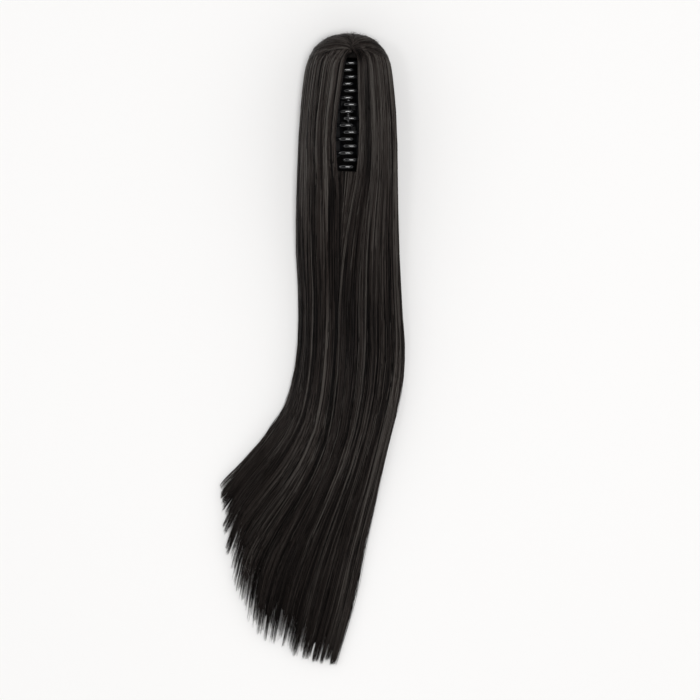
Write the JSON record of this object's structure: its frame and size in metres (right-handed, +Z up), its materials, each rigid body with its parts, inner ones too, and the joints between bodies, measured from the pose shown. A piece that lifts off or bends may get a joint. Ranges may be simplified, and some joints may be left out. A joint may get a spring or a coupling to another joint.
{
  "type": "ponytail hairpiece",
  "caption": "Long straight ponytail hairpiece sewn over a comb-toothed claw clip with a sprung hinge, lying on its back.",
  "frame": {"origin": "on the surface that the hair lies on, under the middle of the whole outline", "axes": "+Y runs from the tips to the crown, +X to the right seen from above with the crown away from the viewer, +Z up through the teeth of the claw"},
  "size_m": [0.1675, 0.5886, 0.0552],
  "materials": {
    "hair": "straight synthetic hair, near black with a warm brown cast, satin",
    "claw_plastic": "moulded black plastic, glossy",
    "hinge_steel": "plain steel wire and pin"
  },
  "bodies": {
    "hair": {"hair_left": "hair", "hair_right": "hair", "hair_back": "hair", "hinge_pin": "hinge_steel", "torsion_spring": "hinge_steel"},
    "jaw_left": {"claw_jaw_left": "claw_plastic"},
    "jaw_right": {"claw_jaw_right": "claw_plastic"}
  },
  "joints": [
    {"name": "jaw_right_hinge", "type": "hinge", "parent": "hair", "child": "jaw_right", "pos_m": [0.035, 0.2175, 0.021], "axis": [0, 1, 0], "range_deg": [0, 32], "stiffness_Nm_per_rad": 0.08, "springref_deg": -34.38},
    {"name": "jaw_left_hinge", "type": "hinge", "parent": "hair", "child": "jaw_left", "pos_m": [0.035, 0.2175, 0.021], "axis": [0, 1, 0], "range_deg": [-32, 0], "stiffness_Nm_per_rad": 0.08, "springref_deg": 34.38}
  ],
  "couplings": [
    {"joint": "jaw_left_hinge", "follows": "jaw_right_hinge", "ratio": -1}
  ]
}
